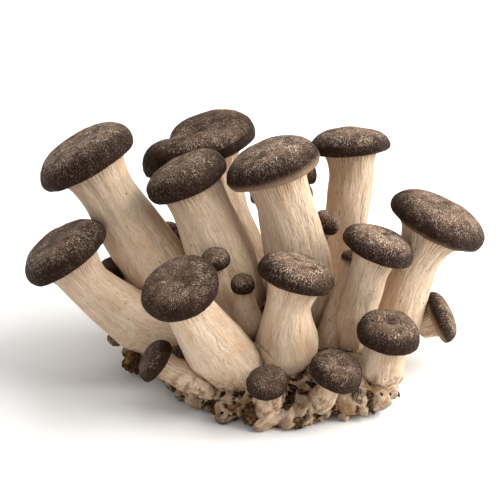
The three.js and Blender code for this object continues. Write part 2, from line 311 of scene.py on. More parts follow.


# Dark velvety skin: blotches of two browns, pale flecks in loose patches, a darker edge that is partly the
# cap's own colour and partly painted shade, and a tan underside. A cap's tone, from 0 to 1, makes it darker
# or paler;
# it is partly the cap's own tone, partly painted shade on buds in the gaps and painted light on caps facing
# the lamps.
def makeSkin():
    made = Shader("capSkin")
    place = made.field("place", "Vector")
    rim = made.field("rim")
    # A cap's tone, partly its own and partly painted light and shade, sets how strong its blotches and
    # flecks are.
    toneAndLight = made.field("toneAndLight")
    blotch = made.between(made.noise(place, skin["blotchScale"], 4), *skin["blotchRamp"])
    blotch = made.times(blotch, made.between(toneAndLight, 0, 1, *skin["blotchTone"]))
    colour = made.mix(blotch, skin["shade"], skin["body"])
    marks = fleckMarks(made, place, rim)
    patches = made.between(made.noise(place, skin["patchScale"], 3), *skin["patchRamp"])
    ringed = made.times(made.between(rim, *skin["middleRamp"]), made.between(rim, *skin["outerRamp"]))
    flecks = made.times(made.between(marks, *skin["fleckRamp"]), made.times(patches, ringed))
    flecks = made.times(flecks, made.between(toneAndLight, 0, 1, *skin["fleckTone"]))
    # Darker towards the edge and round the rim, partly painted shade.
    colour = made.mix(made.between(rim, *skin["darkEdgeAndShadeRamp"]), colour, skin["rim"])
    colour = made.mix(made.times(flecks, skin["fleckCover"]), colour, skin["fleck"])
    colour = made.mix(made.between(rim, *skin["underRamp"]), colour, skin["under"])
    bumps = [(made.noise(place, skin["lumpScale"], 3), skin["lumpBump"]), (marks, skin["fleckBump"])]
    return made.finish(colour, made.between(marks, *skin["roughRamp"]), bumps, skin["constants"])


flesh = {
    "pale": (0.76, 0.6, 0.45),
    "warm": (0.58, 0.4, 0.255),
    "deep": (0.24, 0.125, 0.06),
    "speck": (0.15, 0.08, 0.04),
    "swayScale": 150,
    "sway": (0.0022, 0.0022, 0),     # how far the fibres waver, in metres
    "fibreScale": 1300,
    "fibreStretch": (1, 1, 0.13),
    "fibreRamp": (0.48, 0.64, 0, 0.65),
    "lineScale": 2300,
    "lineStretch": (1, 1, 0.1),
    "lineRamp": (0.55, 0.7, 0, 0.36),
    "bandScale": 200,
    "bandStretch": (1, 1, 0.22),
    "bandRamp": (0.3, 0.7),
    "cloudScale": 80,
    "cloudRamp": (0.35, 0.65, 0, 0.7),
    "grooveRamp": (0, 1, 0, 0.75),
    "speckScale": 900,
    "speckStretch": (1, 1, 0.45),
    "speckRamp": (0.74, 0.78, 0, 0.75),
    "grimeScale": 300,
    "grimeRamp": (0.42, 0.66),
    "roughRamp": (0.3, 0.7, 0.5, 0.68),
    "bandBump": 0.0016,
    "fibreBump": 0.0009,
    "constants": {"Subsurface Weight": 0.1, "Subsurface Radius": (1, 0.55, 0.3),
                  "Subsurface Scale": 0.002, "Specular IOR Level": 0.35},
}


# Pale flesh with fibres that run along the stem and waver: two creams in long streaks, thin brown lines,
# sparse brown specks and more brown near the foot, with painted shade as brown in the gill grooves and in a
# band under the cap.
def makeFlesh():
    made = Shader("stemFlesh")
    grain = made.field("grain", "Vector")
    sway = made.noise(grain, flesh["swayScale"], 2, 0.5, "Color")
    wavy = made.vectors("ADD", grain, made.vectors("MULTIPLY", sway, flesh["sway"]))
    fibres = made.noise(made.stretched(wavy, flesh["fibreStretch"]), flesh["fibreScale"], 3, 0.6)
    lines = made.noise(made.stretched(wavy, flesh["lineStretch"]), flesh["lineScale"], 2, 0.5)
    bands = made.noise(made.stretched(wavy, flesh["bandStretch"]), flesh["bandScale"], 4)
    clouds = made.noise(grain, flesh["cloudScale"], 3)
    specks = made.noise(made.stretched(grain, flesh["speckStretch"]), flesh["speckScale"], 1)
    grime = made.between(made.noise(grain, flesh["grimeScale"], 5, 0.7), *flesh["grimeRamp"])
    colour = made.mix(made.between(bands, *flesh["bandRamp"]), flesh["pale"], flesh["warm"])
    colour = made.mix(made.between(clouds, *flesh["cloudRamp"]), colour, flesh["pale"])
    colour = made.mix(made.between(fibres, *flesh["fibreRamp"]), colour, flesh["warm"])
    colour = made.mix(made.between(lines, *flesh["lineRamp"]), colour, flesh["deep"])
    # Painted shade: brown in the gill grooves and in a band under the cap; on the fingers this field holds
    # their stains.
    colour = made.mix(made.between(made.field("groove"), *flesh["grooveRamp"]), colour, flesh["deep"])
    colour = made.mix(made.between(specks, *flesh["speckRamp"]), colour, flesh["speck"])
    colour = made.mix(made.times(made.field("foot"), grime), colour, flesh["deep"])
    bumps = [(bands, flesh["bandBump"]), (fibres, flesh["fibreBump"])]
    return made.finish(colour, made.between(fibres, *flesh["roughRamp"]), bumps, flesh["constants"])


mycelium = {
    "pale": (0.8, 0.625, 0.45),
    "tan": (0.4, 0.2, 0.072),
    "dark": (0.045, 0.019, 0.007),
    "strand": (0.78, 0.62, 0.46),
    "skirt": (0.13, 0.058, 0.022),
    "threadScale": 420,
    "threadRamp": (0.48, 0.68, 0, 0.5),
    "stainScale": 150,
    "stainRamp": (0.42, 0.6, 0, 0.85),
    "threadDirt": 0.9,
    "creaseSawdustAndShade": 0.6,
    "tanRamp": (0.5, 0.68, 0, 0.85),
    "darkRamp": (0.6, 0.75),
    "strandScale": 330,
    "strandRamp": (0.004, 0.02, 0.6, 0),
    "skirtWobble": (0.3, 0.7, -0.0022, 0.0022),
    "skirtRamp": (0.0006, 0.0042, 0.9, 0),       # heights above the table
    "roughRamp": (0.3, 0.7, 0.75, 0.95),
    "threadBump": 0.004,
    "grainScale": 1500,
    "grainBump": 0.0008,
    "constants": {"Specular IOR Level": 0.12},
}


# The butt's mycelium: pale and fibrous where it stands proud, dark in the creases with sawdust and with
# painted shade, crossed by thin pale strands where a noise passes its middle value, and brown at the table.
def makeMycelium():
    made = Shader("mycelium")
    place = made.place()
    threads = made.noise(place, mycelium["threadScale"], 6, 0.7)
    stain = made.between(made.noise(place, mycelium["stainScale"], 5, 0.65), *mycelium["stainRamp"])
    colour = made.mix(stain, mycelium["pale"], mycelium["tan"])
    colour = made.mix(made.between(threads, *mycelium["threadRamp"]), colour, mycelium["tan"])
    # Darker by the threads' noise and in the creases; the crease part is partly sawdust, partly painted
    # shade.
    dirtAndShade = made.math("ADD", made.times(threads, mycelium["threadDirt"]),
                     made.times(made.field("crease"), mycelium["creaseSawdustAndShade"]))
    colour = made.mix(made.between(dirtAndShade, *mycelium["tanRamp"]), colour, mycelium["tan"])
    colour = made.mix(made.between(dirtAndShade, *mycelium["darkRamp"]), colour, mycelium["dark"])
    strands = made.math("SUBTRACT", made.noise(place, mycelium["strandScale"], 4, 0.6), 0.5)
    strands = made.between(made.math("ABSOLUTE", strands, 0), *mycelium["strandRamp"])
    colour = made.mix(strands, colour, mycelium["strand"])
    skirt = made.math("ADD", made.field("height"), made.between(threads, *mycelium["skirtWobble"]))
    colour = made.mix(made.between(skirt, *mycelium["skirtRamp"]), colour, mycelium["skirt"])
    bumps = [(threads, mycelium["threadBump"]),
             (made.noise(place, mycelium["grainScale"], 3), mycelium["grainBump"])]
    return made.finish(colour, made.between(threads, *mycelium["roughRamp"]), bumps, mycelium["constants"])


sawdust = {
    "dark": (0.036, 0.018, 0.008),
    "brown": (0.21, 0.11, 0.043),
    "pale": (0.34, 0.2, 0.08),
    "gritScale": 900,
    "gritRamp": (0.4, 0.68),
    "paleScale": 160,
    "paleRamp": (0.55, 0.7),
    "roughRamp": (0.3, 0.7, 0.8, 0.98),
    "gritBump": 0.0016,
    "constants": {"Specular IOR Level": 0.12},
}


# Sawdust: dark brown, coarse and matt, some bits lighter.
def makeSawdust():
    made = Shader("sawdust")
    place = made.place()
    grit = made.noise(place, sawdust["gritScale"], 5, 0.7)
    colour = made.mix(made.between(grit, *sawdust["gritRamp"]), sawdust["dark"], sawdust["brown"])
    lighter = made.between(made.noise(place, sawdust["paleScale"], 2), *sawdust["paleRamp"])
    colour = made.mix(lighter, colour, sawdust["pale"])
    rough = made.between(grit, *sawdust["roughRamp"])
    return made.finish(colour, rough, [(grit, sawdust["gritBump"])], sawdust["constants"])


capSkin = makeSkin()
stemFlesh = makeFlesh()
myceliumMat = makeMycelium()
sawdustMat = makeSawdust()
print("materials made")


caps = {
    "spacing": 0.0007,       # between points of the finished surface
    "coarse": (40, 48),      # rays down and round on the node
    "smoothing": (0.06, 0.06),
    "heart": 0.35,           # where the rays start, as a share of the thickness
    "rayDepth": 0.6,
    "lumpSize": 0.013,
    "lumpHeight": 0.00022,
    "lumpless": 0.004,       # a cap of this radius has no lumps, one twice as wide has them all
    "wrinkleSize": 0.0035,
    "wrinkleHeight": 0.00007,
    # depth, and width as a share of the radius
    "dimples": {"front_right": (0.0021, 0.2), "low_right": (0.0016, 0.24), "front_left": (0.0014, 0.3),
                "mid_right": (0.0016, 0.28), "tall_left": (0.0018, 0.4), "side_left": (0.0013, 0.38),
                "front_centre": (0.0013, 0.3), "low_left": (0.0009, 0.3)},
    "rolledLip": {"centre_tall": 0.16, "side_right": 0.07, "low_side_right": 0.12, "bud_furled": 0.2},
    # Each cap's tone: partly its own, partly painted shade on the buds tucked in the gaps and painted light
    # on caps such as mid_right and centre_tall that catch the lamps.
    "capTonesAndLight": {"bud_between": 0.2, "bud_behind": 0.2, "low_centre": 0.25, "low_left": 0.3,
              "rear_broad": 0.38, "front_left": 0.42, "low_right": 0.42, "front_right": 0.45,
              "rear_right": 0.64, "side_left": 0.68, "front_centre": 0.72, "tall_left": 0.74,
              "centre_tall": 0.76, "mid_right": 0.84, "bud_furled": 0.9},
    "toneAndLight": 0.55,            # of the other caps
    "valley": {"rear_broad": (0.0032, 0.3, 157)},    # depth, half width as a share, and bearing
    "valleyEnd": (0.7, 1.1),
    "notch": {"rear_broad": (0.0042, 14)},           # depth and sharpness, where the valley leaves the rim
    "dashLength": 0.45,
    "placeShift": 0.05,      # between the patterns of one cap and the next
    "streakShift": 0.03,
    "underFrom": 0.52,       # share of the fall where the rim counts on past 1
    "lipFrom": 0.44,
}


# A cap's own frame, measured on its node: its underside is the flat patch that faces away from the crown,
# the middle of that patch is its centre, and its axis points the other way.
def capFrame(triangles, away):
    a, b, c = np.moveaxis(triangles, 1, 0)
    normal = np.cross(b - a, c - a) / 2
    area = np.linalg.norm(normal, axis=1)
    axis = away
    for narrowing in (0.8, 0.93, 0.97):
        under = (unit(normal) @ axis) < -narrowing
        axis = -unit(normal[under].sum(0))
    middle = (triangles[under].mean(1) * area[under, None]).sum(0) / area[under].sum()
    side = unit(np.cross([0.0, 1.0, 0.0], axis))
    whole = triangles.reshape(-1, 3) - middle
    thick = (whole @ axis).max()
    radius = np.percentile(np.linalg.norm(np.cross(whole, axis), axis=1), 90)
    return {"middle": middle, "axis": axis, "side": side, "other": np.cross(axis, side),
            "thick": thick, "radius": radius, "start": middle + axis * caps["heart"] * thick}


# Rays spaced as the points of an ellipse as wide and as deep as the cap, so that the rim is as fine as the
# top.
def capRays(cap, falls, turns):
    out = cap["side"] * np.cos(turns)[..., None] + cap["other"] * np.sin(turns)[..., None]
    down = cap["axis"] * caps["rayDepth"] * cap["thick"] * np.cos(falls)[..., None]
    return unit(down + out * cap["radius"] * np.sin(falls)[..., None])


# How far a cap's node reaches along a fine grid of rays, smoothed from a coarse grid.
def capReach(cap, triangles, fine):
    coarse = np.linspace(0.02, 0.98, caps["coarse"][0]), midSteps(caps["coarse"][1])
    falls, turns = angleGrid(*coarse)
    reach = waysOut(cap["start"], capRays(cap, falls, turns).reshape(-1, 3), triangles)
    return carried(filled(reach.reshape(falls.shape)), coarse, fine, *caps["smoothing"])


# Low lumps and fine wrinkles, as heights.
def capRelief(surface, radius, seed):
    lumps = caps["lumpHeight"] * waves(surface, caps["lumpSize"], seed)
    lumps = lumps * smoothstep(0, caps["lumpless"], radius - caps["lumpless"])
    return lumps + caps["wrinkleHeight"] * waves(surface, caps["wrinkleSize"], seed + 50)


# The top sunk in the middle, by a bell curve of the share of the way out. The double cap is also sunk along
# a valley across it, and drawn in where the valley leaves the rim.
def sinkTop(name, cap, surface, share, falls, turns):
    top = falls < math.pi / 2
    depth, spread = caps["dimples"].get(name, (0, 1))
    surface = surface - cap["axis"] * (depth * bell(share, spread) * top)[..., None]
    if name not in caps["valley"]:
        return surface
    depth, spread, bearing = caps["valley"][name]
    nick, sharpness = caps["notch"][name]
    bearing = math.radians(bearing)
    across = share * np.sin(turns - bearing)
    sunk = depth * bell(across, spread) * top * (1 - smoothstep(*caps["valleyEnd"], share))
    nicked = nick * np.exp(sharpness * (np.cos(turns - bearing) - 1)) * np.clip(share, 0, 1) ** 2
    level = unit(cap["side"] * math.cos(bearing) + cap["other"] * math.sin(bearing))
    return surface - cap["axis"] * sunk[..., None] - level * nicked[..., None]


# What the skin reads: the place in the cap's frame; the same with the way walked down from the top in place
# of the height; the share of the way to the rim, past 1 on the underside; and the cap's tone, partly its own
# and partly painted light and shade.
def capFields(name, cap, surface, out, falls, turns, seed):
    local = surface - cap["middle"]
    place = np.stack([local @ cap["side"], local @ cap["other"], local @ cap["axis"]], axis=-1)
    steps = np.linalg.norm(np.diff(surface, axis=0), axis=-1)
    walked = caps["dashLength"] * np.concatenate([out[:1], steps]).cumsum(0)
    radius = cap["radius"]
    streak = np.stack([np.cos(turns) * radius, np.sin(turns) * radius, walked], axis=-1)
    fallen = falls / math.pi
    rim = np.where(falls < math.pi / 2, np.minimum(out / radius, 1), 1)
    rim = rim + np.clip(fallen - caps["underFrom"], 0, 1)
    rim = rim + caps["rolledLip"].get(name, 0) * smoothstep(caps["lipFrom"], caps["underFrom"], fallen)
    toneAndLight = np.full(rim.shape, caps["capTonesAndLight"].get(name, caps["toneAndLight"]))
    return {"place": place + seed * caps["placeShift"], "streak": streak + seed * caps["streakShift"],
            "rim": rim, "toneAndLight": toneAndLight}


# A cap as a shell round a point inside it: how far its node reaches along each ray, smoothed, then given
# its relief and its sunken top.
def makeCap(name, seed):
    node = "cap_" + name
    triangles = trianglesOf(node)
    stem = trianglesOf("stem_" + name).reshape(-1, 3)
    cap = capFrame(triangles, unit(triangles.reshape(-1, 3).mean(0) - stem.mean(0)))
    count = max(20, round((2 * cap["radius"] + cap["thick"]) * 1.1 / caps["spacing"]))
    fine = midSteps(count), roundSteps(pointsRound(cap["radius"], caps["spacing"]))
    falls, turns = angleGrid(*fine)
    surface = cap["start"] + capRays(cap, falls, turns) * capReach(cap, triangles, fine)[..., None]
    out = np.linalg.norm(np.cross(surface - cap["middle"], cap["axis"]), axis=-1)
    relief = capRelief(surface, cap["radius"], seed)
    surface = surface + unit(surface - cap["start"]) * relief[..., None]
    surface = sinkTop(name, cap, surface, out / cap["radius"], falls, turns)
    fields = capFields(name, cap, surface, out, falls, turns, seed)
    closedSurface("capSurface_" + name, surface, fields, capSkin, [node])
    return cap


stems = {
    "firstStep": 0.0006,     # of the walk down the middle
    "step": 0.0018,
    "steps": 90,
    "leftOut": 0.0006,       # of the length, at both ends together
    "topGap": 0.0002,
    "coarse": (46, 48),      # rings down and rays round on the node
    "coarseCrowding": 1.5,   # rings crowd towards the cap by this power
    "crowding": 1.3,
    "smoothing": (0.028, 0.04),
    "spacing": 0.0009,
    "acrossSpacing": 0.00038,
    "gillSpacing": 0.0013,
    "gillsFrom": 0.0006,
    "gillDepth": 0.0008,
    "gillRun": 0.32,         # of the cap's radius
    "gillDrift": 0.9,
    "gillDriftSize": 0.008,
    "gillRunSize": 0.009,
    # how strongly a band just under the cap is browned, painted shade
    "underCapShade": 0.3,
    "furrowSize": 0.0045,
    "furrowHeight": 0.00016,
    "furrowStretch": (1, 1, 0.16),
    "lumpSize": 0.018,
    "lumpHeight": 0.0005,
    "fullGirth": 0.009,      # thinner stems have lower furrows and lumps
    "pressed": 0.76,         # a stem pressed in by its neighbour keeps this share of its girth
    "pressedBlend": 0.1,
    "grainShift": 0.07,      # between the patterns of one stem and the next
    "intoCap": 0.0012,
    "endRings": 6,
    "endReach": 0.42,        # of its girth, how far its foot is rounded out
    "footHeights": (0.012, 0.024),   # between which the grime of the foot ends
}


# The middle of a stem, walked down from the cap in short steps: each step looks all round, moves to the
# middle of what it sees, and turns towards the way that the middles have gone, until it looks out of the
# stem. The line is then a polynomial in the distance walked, of the fourth degree in a long stem.
def walkStem(triangles, top, axis):
    heading = -axis
    point = top + heading * stems["firstStep"]
    middles = [point]
    while len(middles) < stems["steps"]:
        point = point + heading * stems["step"]
        side = unit(np.cross(heading, [0.31, 0.9, 0.3]))
        turn = np.linspace(0, 2 * math.pi, 32, endpoint=False)
        ring = np.cos(turn)[:, None] * side + np.sin(turn)[:, None] * np.cross(heading, side)
        reach = waysOut(point, ring, triangles, farthest=False)
        if (np.nan_to_num(reach) <= 0).mean() > 0.1:
            break
        if len(middles) > 3:
            point = point + 0.6 * np.nanmean(ring * reach[:, None], axis=0)
            heading = unit(0.7 * heading + 0.3 * unit(point - middles[-3]))
        middles.append(point)
    middles = np.array(middles)
    walked = np.concatenate([[0], np.linalg.norm(np.diff(middles, axis=0), axis=1).cumsum()])
    weight = np.where(walked < 0.006, 4.0, 1.0)
    return np.polyfit(walked, middles, min(4, len(walked) // 3), w=weight), walked[-1]


# Rings along a line: at each place, the direction of travel and a side that turns as little as it can.
def ringFrames(line, places, side):
    powers = np.arange(len(line))[::-1]
    middle = (places[:, None, None] ** powers[None, :, None] * line[None]).sum(1)
    slope = (np.maximum(places, 1e-9)[:, None, None] ** np.maximum(powers - 1, 0)[None, :, None]
             * powers[None, :, None] * line[None]).sum(1)
    travel = unit(slope)
    sides = []
    for each in travel:
        side = unit(side - each * (side @ each))
        sides.append(side)
    sides = np.array(sides)
    return middle, travel, sides, np.cross(travel, sides)


# Places down a stem, closer together near the cap: a gap and the length times s^p.
def downStem(shares, crowding, length):
    return stems["topGap"] + (length - stems["leftOut"]) * shares ** crowding


# How far a stem's node reaches sideways from its line, never less than a share p of the ring's girth:
# r becomes p + (r - p + hypot(r - p, w)) / 2. The stem's girth, the middle value of all, comes with it.
def stemReach(triangles, line, places, firstSide, turnShares):
    middle, _, side, other = ringFrames(line, places, firstSide)
    turns = turnShares * 2 * math.pi
    reach = []
    for each in range(len(places)):
        ring = np.cos(turns)[:, None] * side[each] + np.sin(turns)[:, None] * other[each]
        reach.append(waysOut(middle[each], ring, triangles, farthest=False))
    reach = filled(np.array(reach))
    girth = np.median(reach)
    pressed = np.percentile(reach, 70, axis=1)[:, None] * stems["pressed"]
    rounded = np.hypot(reach - pressed, stems["pressedBlend"] * girth)
    return pressed + 0.5 * (reach - pressed + rounded), girth


# The gills' grooves, (1 - |sin|)^2 of the angle, and how they fade away below the cap.
def gillGrooves(grain, down, angle, cap, girth, seed):
    ridges = max(12, round(2 * math.pi * girth * 1.25 / stems["gillSpacing"]))
    slow = grain * stems["furrowStretch"] * 0.6
    drift = stems["gillDrift"] * waves(slow, stems["gillDriftSize"], seed + 9)
    wave = np.abs(np.sin(angle * ridges / 2 + drift))
    run = 1 + 0.5 * waves(grain * (1, 1, 0), stems["gillRunSize"], seed + 3)
    run = stems["gillRun"] * cap["radius"] * run
    fade = np.exp(-np.clip(down - stems["gillsFrom"], 0, None) / np.maximum(run, 0.001))
    return (1 - wave) ** 2 * fade, fade


# Furrows along a stem and lumps, as heights.
def stemRelief(grain, girth, seed):
    relief = stems["furrowHeight"] * waves(grain * stems["furrowStretch"], stems["furrowSize"], seed)
    relief = relief + stems["lumpHeight"] * waves(grain * (1, 1, 0.5), stems["lumpSize"], seed + 1)
    return relief * min(1, girth / stems["fullGirth"])


# A stem's rings with one more pushed up into the cap, and its foot rounded out as a quarter of an ellipse.
def withEnds(surface, axis, foot, travel, girth):
    intoCap = surface[:1] + axis * stems["intoCap"]
    past = np.linspace(0, 0.97, stems["endRings"] + 1)[1:, None, None]
    end = foot + travel * past * stems["endReach"] * girth + (surface[-1:] - foot) * np.sqrt(1 - past ** 2)
    return np.concatenate([intoCap, surface, end])


# Values at a stem's rings, repeated for the rings that withEnds adds.
def padded(values):
    return np.concatenate([values[:1], values, np.repeat(values[-1:], stems["endRings"], axis=0)])


# A stem as rings round its line: how far its node reaches sideways, smoothed, with furrows and lumps, and
# with the grooves of the gills cut in below the cap.
def makeStem(name, cap, seed):
    node = "stem_" + name
    triangles = trianglesOf(node)
    line, length = walkStem(triangles, cap["middle"], cap["axis"])
    firstSide = unit(np.cross(cap["axis"], [0.0, 1.0, 0.0]))
    rows, columns = np.linspace(0, 1, stems["coarse"][0]), midSteps(stems["coarse"][1])
    places = downStem(rows, stems["coarseCrowding"], length)
    reach, girth = stemReach(triangles, line, places, firstSide, columns)
    share = np.linspace(0, 1, max(16, round(length / stems["spacing"])))
    turnShare = roundSteps(pointsRound(girth, stems["acrossSpacing"]))
    fine = share ** (stems["crowding"] / stems["coarseCrowding"]), turnShare
    reach = carried(reach, (rows, columns), fine, *stems["smoothing"])
    places = downStem(share, stems["crowding"], length)
    middle, travel, side, other = ringFrames(line, places, firstSide)
    turns = turnShare * 2 * math.pi
    down, angle = np.meshgrid(places, turns, indexing="ij")
    grain = np.stack([girth * np.cos(angle), girth * np.sin(angle), down], axis=-1)
    grain = grain + seed * stems["grainShift"]
    groove, fade = gillGrooves(grain, down, angle, cap, girth, seed)
    reach = reach + (stemRelief(grain, girth, seed) - stems["gillDepth"] * groove)
    out = np.cos(turns)[None, :, None] * side[:, None] + np.sin(turns)[None, :, None] * other[:, None]
    surface = middle[:, None] + out * reach[..., None]
    surface = withEnds(surface, cap["axis"], middle[-1], travel[-1], girth)
    surface[..., 2] = np.maximum(surface[..., 2], aboveTable)
    foot = 1 - smoothstep(*stems["footHeights"], surface[..., 2])
    # The groove field browns the gill grooves and a band under the cap as painted shade.
    fields = {"grain": padded(grain), "groove": padded(groove + stems["underCapShade"] * fade), "foot": foot}
    closedSurface("stemSurface_" + name, surface, fields, stemFlesh, [node])


mushrooms = sorted(name[4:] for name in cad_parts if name.startswith("cap_"))
for seed, name in enumerate(mushrooms):
    makeStem(name, makeCap(name, seed), seed)
print(len(mushrooms), "mushrooms made")


knobs = {
    "coarse": (24, 32),      # rays down and round on the node
    "fine": (40, 72),
    "rim": 0.7,              # how the skin sees a pin, as a place on a cap
    "toneAndLight": 0.5,
    "pin": {"rough": 0.00022, "size": 0.004, "softness": 0.06},
    "crumb": {"rough": 0.0007, "size": 0.0035, "softness": 0.05},
}


def ballRays(falls, turns):
    return np.stack([np.sin(falls) * np.cos(turns), np.sin(falls) * np.sin(turns), np.cos(falls)], axis=-1)


# A small rounded piece: the shell of its node seen from its middle, smoothed, with noise added.
def makeKnob(node, seed, material, slot, rough, size, softness):
    low, high = np.array(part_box(node))
    start = (low + high) / 2
    coarse = midSteps(knobs["coarse"][0]), midSteps(knobs["coarse"][1])
    fine = midSteps(knobs["fine"][0]), roundSteps(knobs["fine"][1])
    falls, turns = angleGrid(*coarse)
    reach = waysOut(start, ballRays(falls, turns).reshape(-1, 3), trianglesOf(node))
    reach = carried(filled(reach.reshape(falls.shape)), coarse, fine, softness, softness)
    falls, turns = angleGrid(*fine)
    rays = ballRays(falls, turns)
    surface = start + rays * reach[..., None]
    bumps = waves(surface, size, seed) + 0.5 * waves(surface, size / 2.2, seed + 1)
    surface = surface + rays * (rough * bumps)[..., None]
    surface[..., 2] = np.maximum(surface[..., 2], aboveTable)
    fields = {"place": surface - start, "streak": surface - start,
              "rim": np.full(falls.shape, knobs["rim"]), "toneAndLight": np.full(falls.shape, knobs["toneAndLight"])}
    closedSurface(node + "_surface", surface, fields, material, [node])


for seed, node in enumerate(sorted(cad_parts)):
    if node.startswith("pin_"):
        makeKnob(node, seed, capSkin, "cap_skin", **knobs["pin"])
    if node.startswith("crumb_"):
        makeKnob(node, seed, sawdustMat, "sawdust", **knobs["crumb"])
print("pins and crumbs made")


butt = {
    "node": "mycelium_butt",
    "heart": 0.3,            # where the rays start, as a share of the height
    "rayDepth": 1.6,
    "coarse": (56, 128),     # rays down and round on the node
    "rings": 170,
    "around": 560,
    "smoothing": (0.014, 0.008),
    "close": 7,              # coarse steps over which the sockets are closed up
    "inset": 0.0016,
    "seed": 3,
    "lobes": 34,
    "lobeSize": (0.0035, 0.0075),
    "lobeHalves": ((1, 1.6), (0.75, 1.1), (0.7, 1)),
    "lobeTuck": 0.0042,
    "lobeDroop": 0.5,
    "lobeStray": 0.5,
    "lobesFrom": (0.75, 1.0),        # shares of the way out
    "lobesAbove": 0.002,
    "lobeSmoothing": (0.01, 0.0036),
    "lumpSize": 0.009,
    "lumpHeight": 0.0008,
    "knotSize": 0.0042,
    "knotHeight": 0.0006,
    "pitSize": 0.0065,
    "smallPitSize": 0.0032,
    "pitRamp": (0.3, 0.75),
    "pitDepth": 0.0022,
    "smooth": (0.024, 0.036),        # x between which the pits all but end, towards the right
    "smoothBy": 0.85,
    "levelling": (0.03, 0.011),
    "creaseRamp": (-0.0004, 0.0016),
}


# The largest value within some steps each way, on a grid that wraps round.
def widest(values, steps):
    for _ in range(steps):
        rows = np.concatenate([values[:1], values, values[-1:]])
        down = np.maximum(np.maximum(rows[:-2], rows[1:-1]), rows[2:])
        values = np.maximum(np.maximum(np.roll(down, 1, axis=1), down), np.roll(down, -1, axis=1))
    return values


# Where rays leave a stretched ball: with each ray d and the start s measured in the ball's own half sizes,
# the far answer of |s + t d| = 1, or 0 where a ray misses it.
def outOfBall(start, rays, middle, axes, halves):
    turned = rays @ axes.T / halves
    offset = axes @ (start - middle) / halves
    a = (turned ** 2).sum(-1)
    b = turned @ offset
    inside = b * b - a * (offset @ offset - 1)
    return np.where(inside > 0, (-b + np.sqrt(np.maximum(inside, 0))) / a, 0)


def buttRays(half, falls, turns):
    return unit(np.stack([half[0] * np.sin(falls) * np.cos(turns),
                          half[1] * np.sin(falls) * np.sin(turns),
                          half[2] * butt["rayDepth"] * np.cos(falls)], axis=-1))


# How far the butt's node reaches along coarse rays, with the sockets of the stems closed up.
def closedReach(start, half, coarse):
    triangles = trianglesOf(butt["node"])
    reach = []
    for ray in buttRays(half, *angleGrid(*coarse)):
        reach.append(waysOut(start, ray, triangles))
    return -widest(-widest(filled(np.array(reach)), butt["close"]), butt["close"])


# Lobes that bud out of the butt's sides: stretched balls at random places, pointing out and down, and the
# surface is whichever lies farther out.
def budded(start, half, base, ray, reach):
    random = np.random.default_rng(butt["seed"])
    outness = np.linalg.norm((base - start)[..., :2] / half[:2], axis=-1)
    chance = (smoothstep(*butt["lobesFrom"], outness) * (base[..., 2] > butt["lobesAbove"])).ravel()
    spots = random.choice(chance.size, butt["lobes"], replace=False, p=chance / chance.sum())
    for spot in spots:
        heading = ray.reshape(-1, 3)[spot]
        middle = base.reshape(-1, 3)[spot] - heading * butt["lobeTuck"]
        stray = random.normal(size=3) * butt["lobeStray"]
        along = unit(heading * (1, 1, 0) - upward * butt["lobeDroop"] + stray)
        across = unit(np.cross(along, random.normal(size=3)))
        axes = np.stack([along, across, np.cross(along, across)])
        size = random.uniform(*butt["lobeSize"])
        halves = size * np.array([random.uniform(*span) for span in butt["lobeHalves"]])
        reach = np.maximum(reach, outOfBall(start, ray, middle, axes, halves))
    return reach


# Lumps and knots that stand proud, and pits that are sunk where noise is high.
def buttRelief(surface):
    pits = waves(surface, butt["pitSize"], 5) + 0.5 * waves(surface, butt["smallPitSize"], 6)
    proud = butt["lumpHeight"] * waves(surface, butt["lumpSize"], 7)
    proud = proud + butt["knotHeight"] * waves(surface, butt["knotSize"], 8)
    pitted = 1 - butt["smoothBy"] * smoothstep(*butt["smooth"], surface[..., 0])
    sunk = butt["pitDepth"] * smoothstep(*butt["pitRamp"], pits) * pitted
    return proud * (0.45 + 0.55 * pitted), sunk


# The butt as a shell seen from a point inside it: its sockets closed up, then lobes budding out of it, and
# its relief. A crease is anywhere that lies lower than the surface round it.
def makeButt():
    low, high = np.array(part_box(butt["node"]))
    start = (low + high) / 2 * (1, 1, 0) + upward * butt["heart"] * high[2]
    half = (high - low) / 2
    coarse = midSteps(butt["coarse"][0]), midSteps(butt["coarse"][1])
    fine = midSteps(butt["rings"]), roundSteps(butt["around"])
    reach = carried(closedReach(start, half, coarse), coarse, fine, *butt["smoothing"])
    ray = buttRays(half, *angleGrid(*fine))
    base = start + ray * reach[..., None]
    reach = budded(start, half, base, ray, reach - butt["inset"])
    reach = carried(reach, fine, fine, *butt["lobeSmoothing"])
    proud, sunk = buttRelief(start + ray * reach[..., None])
    reach = reach + proud - sunk
    crease = smoothstep(*butt["creaseRamp"], carried(reach, fine, fine, *butt["levelling"]) - reach)
    surface = start + ray * reach[..., None]
    surface[..., 2] = np.maximum(surface[..., 2], 0)
    fields = {"crease": crease, "height": surface[..., 2]}
    closedSurface("myceliumButt", surface, fields, myceliumMat, [butt["node"]])
    return surface, crease


buttSurface, buttCrease = makeButt()
print("butt made")


fingers = {
    # middle, half of the length as a vector, and girth
    "front": [((0.0040, -0.0576, 0.0044), (0.0074, 0.0036, 0.0024), 0.0034),
              ((0.0134, -0.0546, 0.0060), (0.0062, 0.0052, 0.0036), 0.0037)],
    "seed": 21,
    "count": 16,
    "halfLength": (0.004, 0.008),
    "girth": (0.002, 0.0036),
    "heights": (0.0025, 0.009),      # of the butt's surface that they grow from
    "outness": 0.4,
    # how much each points out, sideways and down
    "outward": (0.2, 0.9),
    "sideways": (-1, 1),
    "down": (0.1, 0.5),
    "tuck": 0.0016,                  # how much deeper than flush they lie
    "taper": 0.14,
    "droop": 0.12,
    "fineRough": (0.0003, 0.004),    # height and size
    "rough": (0.0005, 0.007),
    "stainSize": 0.006,
    "grainShift": 0.06,
    "rings": 36,
    "around": 48,
}


